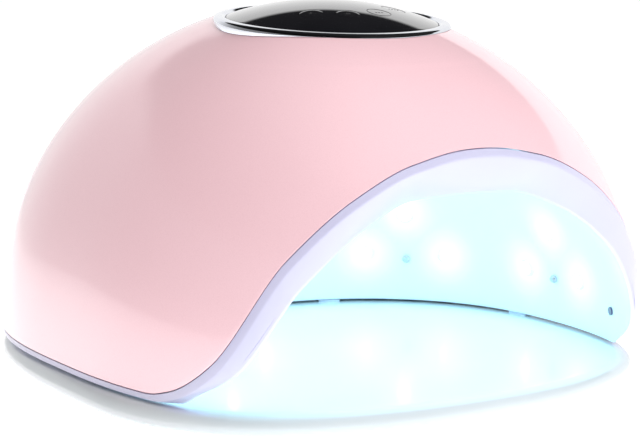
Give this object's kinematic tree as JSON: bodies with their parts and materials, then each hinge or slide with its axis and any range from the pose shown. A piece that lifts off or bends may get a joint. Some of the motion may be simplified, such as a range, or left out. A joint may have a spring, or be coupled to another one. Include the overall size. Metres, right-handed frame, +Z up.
{
  "type": "uv led nail lamp",
  "caption": "Domed nail curing lamp: pink shell over a white LED-lined hand cavity with a wide arched mouth, oval black timer panel with keys, on a lift-off flat tray.",
  "frame": {"origin": "under the middle of the tray, on the table", "axes": "+Z up, the hand opening faces -Y, +X to the right seen from the front"},
  "size_m": [0.2, 0.218, 0.1289],
  "materials": {
    "white_gloss": "gloss moulded ABS",
    "foot_rubber": "soft matt rubber",
    "steel": "zinc plated steel",
    "clear_pad": "translucent silicone",
    "pink_pearl": "pearlescent gloss paint on ABS",
    "white_reflector": "semi-gloss white reflector",
    "bezel_chrome": "polished plating",
    "black_panel": "piano black",
    "display_black": "display block",
    "key_black": "piano black",
    "switch_black": "moulded nylon",
    "pcb_green": "solder mask",
    "buzzer_black": "moulded",
    "led_board_alu": "white coated aluminium board",
    "led_lens": "clear lens with a lit core",
    "ir_window": "dark infrared window",
    "magnet_nickel": "nickel plated magnet",
    "brass_post": "turned brass",
    "capacitor_sleeve": "shrink sleeve",
    "coil_copper": "enamelled winding",
    "heat_sink_alu": "extruded",
    "connector_ivory": "moulded nylon",
    "ribbon_grey": "flat cable jacket",
    "jack_black": "moulded",
    "pin_nickel": "nickel plated"
  },
  "bodies": {
    "base": {"base_tray": "white_gloss", "foot_pads": "foot_rubber", "strike_discs": "steel", "head_rests": "clear_pad"},
    "key_10": {"timer_key_10": "key_black", "plunger_10": "switch_black"},
    "key_30": {"timer_key_30": "key_black", "plunger_30": "switch_black"},
    "key_60": {"timer_key_60": "key_black", "plunger_60": "switch_black"},
    "key_99": {"timer_key_99": "key_black", "plunger_99": "switch_black"},
    "lamp_head": {"outer_shell": "pink_pearl", "inner_liner": "white_reflector", "bezel_ring": "bezel_chrome", "control_panel": "black_panel", "timer_display": "display_black", "switch_housings": "switch_black", "control_pcb": "pcb_green", "panel_screws": "steel", "buzzer": "buzzer_black", "wall_led_board_1": "led_board_alu", "wall_led_board_2": "led_board_alu", "wall_led_board_3": "led_board_alu", "wall_led_board_4": "led_board_alu", "wall_led_board_5": "led_board_alu", "ceiling_led_board_1": "led_board_alu", "ceiling_led_board_2": "led_board_alu", "ceiling_led_board_3": "led_board_alu", "ceiling_led_board_4": "led_board_alu", "ceiling_led_board_5": "led_board_alu", "wall_leds": "led_lens", "ceiling_leds": "led_lens", "module_screws": "steel", "ir_emitter": "ir_window", "ir_receiver": "ir_window", "head_magnets": "magnet_nickel", "case_screws": "steel", "driver_board": "pcb_green", "board_standoffs": "brass_post", "board_screws": "steel", "capacitors": "capacitor_sleeve", "inductors": "coil_copper", "heat_sink": "heat_sink_alu", "board_connectors": "connector_ivory", "ribbon_cable": "ribbon_grey", "dc_jack": "jack_black", "dc_jack_pin": "pin_nickel"}
  },
  "joints": [
    {"name": "head_lift", "type": "slide", "parent": "base", "child": "lamp_head", "axis": [0, 0, 1], "range_m": [0, 0.06]},
    {"name": "press_10", "type": "slide", "parent": "lamp_head", "child": "key_10", "axis": [0, 0, -1], "range_m": [0, 0.0006], "stiffness_N_per_m": 800, "springref_m": -0.0005},
    {"name": "press_30", "type": "slide", "parent": "lamp_head", "child": "key_30", "axis": [0, 0, -1], "range_m": [0, 0.0006], "stiffness_N_per_m": 800, "springref_m": -0.0005},
    {"name": "press_60", "type": "slide", "parent": "lamp_head", "child": "key_60", "axis": [0, 0, -1], "range_m": [0, 0.0006], "stiffness_N_per_m": 800, "springref_m": -0.0005},
    {"name": "press_99", "type": "slide", "parent": "lamp_head", "child": "key_99", "axis": [0, 0, -1], "range_m": [0, 0.0006], "stiffness_N_per_m": 800, "springref_m": -0.0005}
  ]
}
